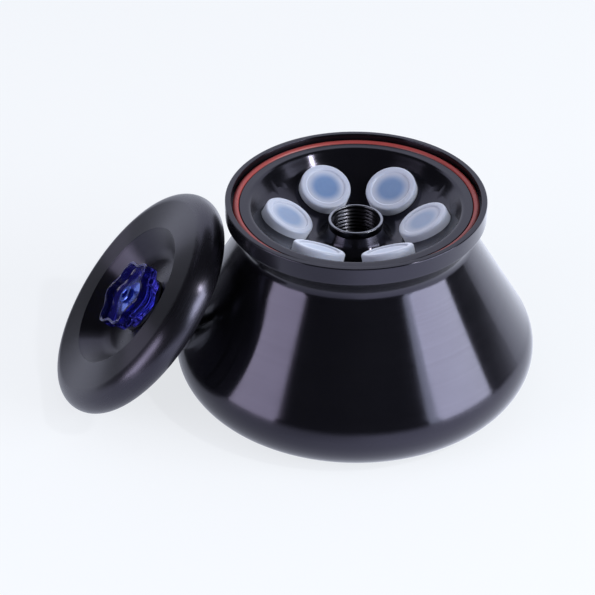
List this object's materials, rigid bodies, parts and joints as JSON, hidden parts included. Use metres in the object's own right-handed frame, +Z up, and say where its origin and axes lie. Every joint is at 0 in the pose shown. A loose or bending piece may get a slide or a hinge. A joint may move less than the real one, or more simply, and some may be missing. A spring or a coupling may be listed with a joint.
{
  "type": "centrifuge rotor",
  "caption": "Fixed-angle centrifuge rotor with tilted, capped bottles in a black bell-shaped body, and its dished lid with a blue knob leaning beside it.",
  "frame": {"origin": "middle of the area that the rotor and the leaning lid cover, on the surface they stand on", "axes": "+Z up along the rotor axis, +X from the lid towards the rotor, +Y away from the front"},
  "size_m": [0.3584, 0.2682, 0.152],
  "materials": {
    "rotor_black": "black anodised, glossy",
    "lid_black": "black anodised, matt on the face and glossy in the bowl and on the edge",
    "seal_red": "smooth red silicone",
    "dark_rubber": "matt",
    "bright_steel": "turned stainless",
    "dark_steel": "blackened",
    "cap_plastic": "translucent bluish polypropylene",
    "liner_plastic": "white foam",
    "bottle_plastic": "translucent polypropylene",
    "knob_blue": "see-through blue, polished"
  },
  "bodies": {
    "rotor": {"rotor_body": "rotor_black", "rim_seal_ring": "seal_red", "lid_thread_bush": "dark_steel", "drawbar_washer": "bright_steel", "drawbar_keeper_ring": "dark_steel", "drive_adapter": "bright_steel", "adapter_screw_1": "dark_steel", "adapter_screw_2": "dark_steel", "adapter_screw_3": "dark_steel", "drive_pin_1": "bright_steel", "drive_pin_2": "bright_steel", "identity_magnet_1": "bright_steel", "identity_magnet_2": "bright_steel", "identity_magnet_3": "bright_steel", "pocket_pad_1": "dark_rubber", "pocket_pad_2": "dark_rubber", "pocket_pad_3": "dark_rubber", "pocket_pad_4": "dark_rubber", "pocket_pad_5": "dark_rubber", "pocket_pad_6": "dark_rubber"},
    "drawbar": {"drawbar_screw": "bright_steel"},
    "container_1": {"bottle_1": "bottle_plastic"},
    "liner_1": {"cap_liner_1": "liner_plastic"},
    "cap_1": {"bottle_cap_1": "cap_plastic"},
    "container_2": {"bottle_2": "bottle_plastic"},
    "liner_2": {"cap_liner_2": "liner_plastic"},
    "cap_2": {"bottle_cap_2": "cap_plastic"},
    "container_3": {"bottle_3": "bottle_plastic"},
    "liner_3": {"cap_liner_3": "liner_plastic"},
    "cap_3": {"bottle_cap_3": "cap_plastic"},
    "container_4": {"bottle_4": "bottle_plastic"},
    "liner_4": {"cap_liner_4": "liner_plastic"},
    "cap_4": {"bottle_cap_4": "cap_plastic"},
    "container_5": {"bottle_5": "bottle_plastic"},
    "liner_5": {"cap_liner_5": "liner_plastic"},
    "cap_5": {"bottle_cap_5": "cap_plastic"},
    "container_6": {"bottle_6": "bottle_plastic"},
    "liner_6": {"cap_liner_6": "liner_plastic"},
    "cap_6": {"bottle_cap_6": "cap_plastic"},
    "lid": {"lid_disc": "lid_black", "lid_thrust_washer": "bright_steel", "knob_gasket": "dark_rubber"},
    "knob": {"lid_knob": "knob_blue", "knob_spindle": "bright_steel", "knob_screw": "dark_steel"}
  },
  "joints": [
    {"name": "lid_lift", "type": "slide", "parent": "rotor", "child": "lid", "axis": [0, 0, 1], "range_m": [0, 0.16]},
    {"name": "knob_turn", "type": "hinge", "parent": "lid", "child": "knob", "pos_m": [-0.10534, -0.01316, 0.06304], "axis": [-0.7417, -0.1042, 0.6626], "continuous": true},
    {"name": "drawbar_turn", "type": "hinge", "parent": "rotor", "child": "drawbar", "pos_m": [0.04513, 0, 0.07], "axis": [0, 0, 1], "continuous": true},
    {"name": "bottle_1_lift", "type": "slide", "parent": "rotor", "child": "container_1", "axis": [-0.4683, 0.0327, 0.8829], "range_m": [0, 0.045]},
    {"name": "liner_1_rise", "type": "slide", "parent": "container_1", "child": "liner_1", "axis": [-0.4683, 0.0327, 0.8829], "range_m": [0, 0.006]},
    {"name": "cap_1_turn", "type": "hinge", "parent": "liner_1", "child": "cap_1", "pos_m": [0.14236, -0.0068, 0.04161], "axis": [-0.4683, 0.0327, 0.8829], "range_deg": [0, 540]},
    {"name": "bottle_2_lift", "type": "slide", "parent": "rotor", "child": "container_2", "axis": [0.2625, 0.3892, -0.8829], "range_m": [-0.045, 0]},
    {"name": "liner_2_rise", "type": "slide", "parent": "container_2", "child": "liner_2", "axis": [-0.2625, -0.3892, 0.8829], "range_m": [0, 0.006]},
    {"name": "cap_2_turn", "type": "hinge", "parent": "liner_2", "child": "cap_2", "pos_m": [0.09963, 0.0808, 0.04161], "axis": [-0.2625, -0.3892, 0.8829], "range_deg": [0, 540]},
    {"name": "bottle_3_lift", "type": "slide", "parent": "rotor", "child": "container_3", "axis": [0.2058, -0.422, 0.8829], "range_m": [0, 0.045]},
    {"name": "liner_3_rise", "type": "slide", "parent": "container_3", "child": "liner_3", "axis": [0.2058, -0.422, 0.8829], "range_m": [0, 0.006]},
    {"name": "cap_3_turn", "type": "hinge", "parent": "liner_3", "child": "cap_3", "pos_m": [0.00241, 0.0876, 0.04161], "axis": [0.2058, -0.422, 0.8829], "range_deg": [0, 540]},
    {"name": "bottle_4_lift", "type": "slide", "parent": "rotor", "child": "container_4", "axis": [-0.4683, 0.0327, -0.8829], "range_m": [-0.045, 0]},
    {"name": "liner_4_rise", "type": "slide", "parent": "container_4", "child": "liner_4", "axis": [0.4683, -0.0327, 0.8829], "range_m": [0, 0.006]},
    {"name": "cap_4_turn", "type": "hinge", "parent": "liner_4", "child": "cap_4", "pos_m": [-0.05209, 0.0068, 0.04161], "axis": [0.4683, -0.0327, 0.8829], "range_deg": [0, 540]},
    {"name": "bottle_5_lift", "type": "slide", "parent": "rotor", "child": "container_5", "axis": [0.2625, 0.3892, 0.8829], "range_m": [0, 0.045]},
    {"name": "liner_5_rise", "type": "slide", "parent": "container_5", "child": "liner_5", "axis": [0.2625, 0.3892, 0.8829], "range_m": [0, 0.006]},
    {"name": "cap_5_turn", "type": "hinge", "parent": "liner_5", "child": "cap_5", "pos_m": [-0.00937, -0.0808, 0.04161], "axis": [0.2625, 0.3892, 0.8829], "range_deg": [0, 540]},
    {"name": "bottle_6_lift", "type": "slide", "parent": "rotor", "child": "container_6", "axis": [0.2058, -0.422, -0.8829], "range_m": [-0.045, 0]},
    {"name": "liner_6_rise", "type": "slide", "parent": "container_6", "child": "liner_6", "axis": [-0.2058, 0.422, 0.8829], "range_m": [0, 0.006]},
    {"name": "cap_6_turn", "type": "hinge", "parent": "liner_6", "child": "cap_6", "pos_m": [0.08786, -0.0876, 0.04161], "axis": [-0.2058, 0.422, 0.8829], "range_deg": [0, 540]}
  ],
  "couplings": [
    {"joint": "liner_1_rise", "follows": "cap_1_turn", "m_per_rad": 0.0006366},
    {"joint": "liner_2_rise", "follows": "cap_2_turn", "m_per_rad": 0.0006366},
    {"joint": "liner_3_rise", "follows": "cap_3_turn", "m_per_rad": 0.0006366},
    {"joint": "liner_4_rise", "follows": "cap_4_turn", "m_per_rad": 0.0006366},
    {"joint": "liner_5_rise", "follows": "cap_5_turn", "m_per_rad": 0.0006366},
    {"joint": "liner_6_rise", "follows": "cap_6_turn", "m_per_rad": 0.0006366}
  ]
}
